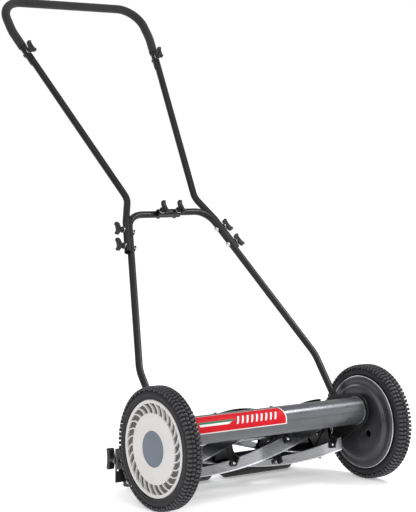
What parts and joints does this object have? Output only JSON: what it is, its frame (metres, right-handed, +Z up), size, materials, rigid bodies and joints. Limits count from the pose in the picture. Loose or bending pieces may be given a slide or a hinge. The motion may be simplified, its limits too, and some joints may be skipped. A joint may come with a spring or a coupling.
{
  "type": "reel mower",
  "caption": "Push reel mower: geared rubber-tyred wheels turn a helical blade reel against a bed knife; a tubular handle with a foam grip; a height-adjustable rear roller.",
  "frame": {"origin": "on the ground, under the middle of the whole mower", "axes": "+Z up, +X from the left wheel to the right wheel as the user pushes it, +Y back towards the user; it mows towards -Y"},
  "size_m": [0.6054, 0.9234, 1.097],
  "materials": {
    "gunmetal_paint": "satin metallic enamel",
    "black_frame_paint": "semi-gloss black enamel",
    "blade_steel": "ground and lightly polished",
    "shaft_steel": "turned, zinc plated",
    "tyre_rubber": "moulded black rubber",
    "rim_plastic": "moulded black",
    "cap_plastic": "moulded light warm grey",
    "centre_plastic": "moulded slate blue",
    "roller_plastic": "moulded black",
    "handle_paint": "satin black enamel",
    "grip_foam": "matt closed-cell foam",
    "knob_plastic": "moulded black",
    "bolt_zinc": "bright zinc plating"
  },
  "bodies": {
    "frame": {"cross_tube": "gunmetal_paint", "left_side_plate": "black_frame_paint", "right_side_plate": "black_frame_paint", "left_gear_shield": "gunmetal_paint", "right_gear_shield": "gunmetal_paint", "left_axle": "shaft_steel", "right_axle": "shaft_steel", "left_reel_bearing": "shaft_steel", "right_reel_bearing": "shaft_steel", "cutter_bar": "black_frame_paint", "bed_knife": "blade_steel"},
    "left_wheel": {"left_tyre": "tyre_rubber", "left_wheel_rim": "rim_plastic", "left_hub_cap": "cap_plastic", "left_hub_centre": "centre_plastic"},
    "right_wheel": {"right_tyre": "tyre_rubber", "right_wheel_rim": "rim_plastic", "right_hub_cap": "cap_plastic", "right_hub_centre": "centre_plastic"},
    "left_pinion_gear": {"left_pinion": "shaft_steel"},
    "right_pinion_gear": {"right_pinion": "shaft_steel"},
    "reel": {"reel_shaft": "shaft_steel", "reel_blade_1": "blade_steel", "reel_blade_2": "blade_steel", "reel_blade_3": "blade_steel", "reel_blade_4": "blade_steel", "reel_blade_5": "blade_steel", "reel_spider_1": "black_frame_paint", "reel_spider_2": "black_frame_paint", "reel_spider_3": "black_frame_paint", "reel_spider_4": "black_frame_paint"},
    "roller_carriage": {"roller_shaft": "shaft_steel", "left_roller_bracket": "black_frame_paint", "right_roller_bracket": "black_frame_paint"},
    "left_roller_drum": {"left_roller": "roller_plastic"},
    "right_roller_drum": {"right_roller": "roller_plastic"},
    "handle": {"grip_bar": "handle_paint", "foam_grip": "grip_foam", "left_upper_tube": "handle_paint", "right_upper_tube": "handle_paint", "left_lower_tube": "handle_paint", "right_lower_tube": "handle_paint", "left_grip_bolt": "bolt_zinc", "right_grip_bolt": "bolt_zinc", "left_high_bolt": "bolt_zinc", "left_low_bolt": "bolt_zinc", "right_high_bolt": "bolt_zinc", "right_low_bolt": "bolt_zinc", "arch_left_bolt": "bolt_zinc", "arch_right_bolt": "bolt_zinc"},
    "left_height_clamp": {"left_height_knob": "knob_plastic"},
    "right_height_clamp": {"right_height_knob": "knob_plastic"},
    "left_grip_clamp": {"left_grip_knob": "knob_plastic"},
    "right_grip_clamp": {"right_grip_knob": "knob_plastic"},
    "left_high_clamp": {"left_high_knob": "knob_plastic"},
    "left_low_clamp": {"left_low_knob": "knob_plastic"},
    "right_high_clamp": {"right_high_knob": "knob_plastic"},
    "right_low_clamp": {"right_low_knob": "knob_plastic"},
    "arch_left_clamp": {"arch_left_knob": "knob_plastic"},
    "arch_right_clamp": {"arch_right_knob": "knob_plastic"}
  },
  "joints": [
    {"name": "left_wheel_spin", "type": "hinge", "parent": "frame", "child": "left_wheel", "pos_m": [-0.285, -0.33492, 0.127], "axis": [1, 0, 0], "continuous": true},
    {"name": "right_wheel_spin", "type": "hinge", "parent": "frame", "child": "right_wheel", "pos_m": [0.285, -0.33492, 0.127], "axis": [1, 0, 0], "continuous": true},
    {"name": "left_pinion_spin", "type": "hinge", "parent": "frame", "child": "left_pinion_gear", "pos_m": [-0.277, -0.26011, 0.10569], "axis": [1, 0, 0], "continuous": true},
    {"name": "right_pinion_spin", "type": "hinge", "parent": "frame", "child": "right_pinion_gear", "pos_m": [0.277, -0.26011, 0.10569], "axis": [1, 0, 0], "continuous": true},
    {"name": "reel_spin", "type": "hinge", "parent": "frame", "child": "reel", "pos_m": [0, -0.26011, 0.10569], "axis": [1, 0, 0], "continuous": true},
    {"name": "handle_pivot", "type": "hinge", "parent": "frame", "child": "handle", "pos_m": [0, -0.28292, 0.16], "axis": [1, 0, 0], "range_deg": [0, 70]},
    {"name": "roller_height", "type": "slide", "parent": "frame", "child": "roller_carriage", "axis": [0, 0, 1], "range_m": [-0.015, 0.02]},
    {"name": "left_roller_spin", "type": "hinge", "parent": "roller_carriage", "child": "left_roller_drum", "pos_m": [-0.115, -0.14792, 0.022], "axis": [1, 0, 0], "continuous": true},
    {"name": "right_roller_spin", "type": "hinge", "parent": "roller_carriage", "child": "right_roller_drum", "pos_m": [0.115, -0.14792, 0.022], "axis": [1, 0, 0], "continuous": true},
    {"name": "left_height_knob_turn", "type": "hinge", "parent": "frame", "child": "left_height_clamp", "pos_m": [-0.251, -0.13182, 0.067], "axis": [0, 1, 0], "range_deg": [-180, 180]},
    {"name": "right_height_knob_turn", "type": "hinge", "parent": "frame", "child": "right_height_clamp", "pos_m": [0.251, -0.13182, 0.067], "axis": [0, 1, 0], "range_deg": [-180, 180]},
    {"name": "left_grip_knob_turn", "type": "hinge", "parent": "handle", "child": "left_grip_clamp", "pos_m": [-0.18554, 0.33708, 0.96331], "axis": [0, -0.7657, 0.6432], "range_deg": [-180, 180]},
    {"name": "right_grip_knob_turn", "type": "hinge", "parent": "handle", "child": "right_grip_clamp", "pos_m": [0.18554, 0.33708, 0.96331], "axis": [0, -0.7657, 0.6432], "range_deg": [-180, 180]},
    {"name": "left_high_knob_turn", "type": "hinge", "parent": "handle", "child": "left_high_clamp", "pos_m": [-0.14122, 0.00686, 0.5516], "axis": [-0.9466, 0.1917, 0.2591], "range_deg": [-180, 180]},
    {"name": "left_low_knob_turn", "type": "hinge", "parent": "handle", "child": "left_low_clamp", "pos_m": [-0.15562, -0.0183, 0.5176], "axis": [-0.9466, 0.1917, 0.2591], "range_deg": [-180, 180]},
    {"name": "right_high_knob_turn", "type": "hinge", "parent": "handle", "child": "right_high_clamp", "pos_m": [0.14122, 0.00686, 0.5516], "axis": [0.9466, 0.1917, 0.2591], "range_deg": [-180, 180]},
    {"name": "right_low_knob_turn", "type": "hinge", "parent": "handle", "child": "right_low_clamp", "pos_m": [0.15562, -0.0183, 0.5176], "axis": [0.9466, 0.1917, 0.2591], "range_deg": [-180, 180]},
    {"name": "arch_left_knob_turn", "type": "hinge", "parent": "handle", "child": "arch_left_clamp", "pos_m": [-0.024, 0.02205, 0.59205], "axis": [0, -0.8038, 0.5948], "range_deg": [-180, 180]},
    {"name": "arch_right_knob_turn", "type": "hinge", "parent": "handle", "child": "arch_right_clamp", "pos_m": [0.022, 0.02205, 0.59205], "axis": [0, -0.8038, 0.5948], "range_deg": [-180, 180]}
  ],
  "couplings": [
    {"joint": "left_pinion_spin", "follows": "left_wheel_spin", "ratio": 5.4545},
    {"joint": "reel_spin", "follows": "left_wheel_spin", "ratio": 5.4545},
    {"joint": "right_pinion_spin", "follows": "right_wheel_spin", "ratio": 5.4545}
  ]
}
